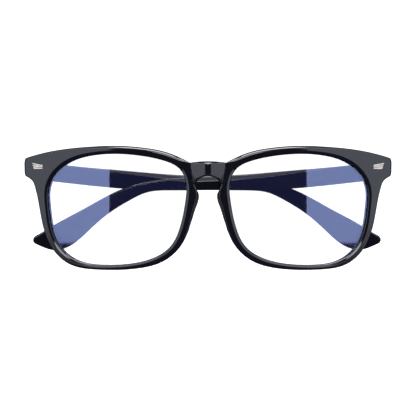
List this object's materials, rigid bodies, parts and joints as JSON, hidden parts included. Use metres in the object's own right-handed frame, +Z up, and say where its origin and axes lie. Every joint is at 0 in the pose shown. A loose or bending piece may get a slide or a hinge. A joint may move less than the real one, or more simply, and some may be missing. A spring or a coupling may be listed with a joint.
{
  "type": "blue light glasses",
  "caption": "Folding full-rim reading glasses with soft square lenses, a keyhole bridge, hinged temples and clear coated lenses, stored folded.",
  "frame": {"origin": "under the middle of the folded pair, level with the lowest point of the rims", "axes": "+Z up the face, the face looks along -Y, +X towards the wearer's left temple"},
  "size_m": [0.143, 0.0287, 0.0481],
  "materials": {
    "black_acetate": "polished black",
    "temple_acetate": "polished black",
    "pad_plastic": "polished black",
    "coated_lens": "clear with a blue anti-reflection coating",
    "plaque_metal": "polished, ribbed",
    "hinge_steel": "satin",
    "rivet_steel": "satin",
    "screw_steel": "polished",
    "core_steel": "drawn"
  },
  "bodies": {
    "front": {"front_frame": "black_acetate", "left_lens": "coated_lens", "left_nose_pad": "pad_plastic", "left_plaque": "plaque_metal", "left_front_leaf": "hinge_steel", "left_front_rivets": "rivet_steel", "left_hinge_screw": "screw_steel", "right_lens": "coated_lens", "right_nose_pad": "pad_plastic", "right_plaque": "plaque_metal", "right_front_leaf": "hinge_steel", "right_front_rivets": "rivet_steel", "right_hinge_screw": "screw_steel"},
    "left_arm": {"left_temple": "temple_acetate", "left_temple_leaf": "hinge_steel", "left_temple_rivets": "rivet_steel", "left_core_wire": "core_steel"},
    "right_arm": {"right_temple": "temple_acetate", "right_temple_leaf": "hinge_steel", "right_temple_rivets": "rivet_steel", "right_core_wire": "core_steel"}
  },
  "joints": [
    {"name": "left_temple_hinge", "type": "hinge", "parent": "front", "child": "left_arm", "pos_m": [0.0649, 0.00415, 0.03935], "axis": [0, 0, -1], "range_deg": [0, 90]},
    {"name": "right_temple_hinge", "type": "hinge", "parent": "front", "child": "right_arm", "pos_m": [-0.0649, 0.00415, 0.03935], "axis": [0, 0, 1], "range_deg": [0, 86]}
  ]
}
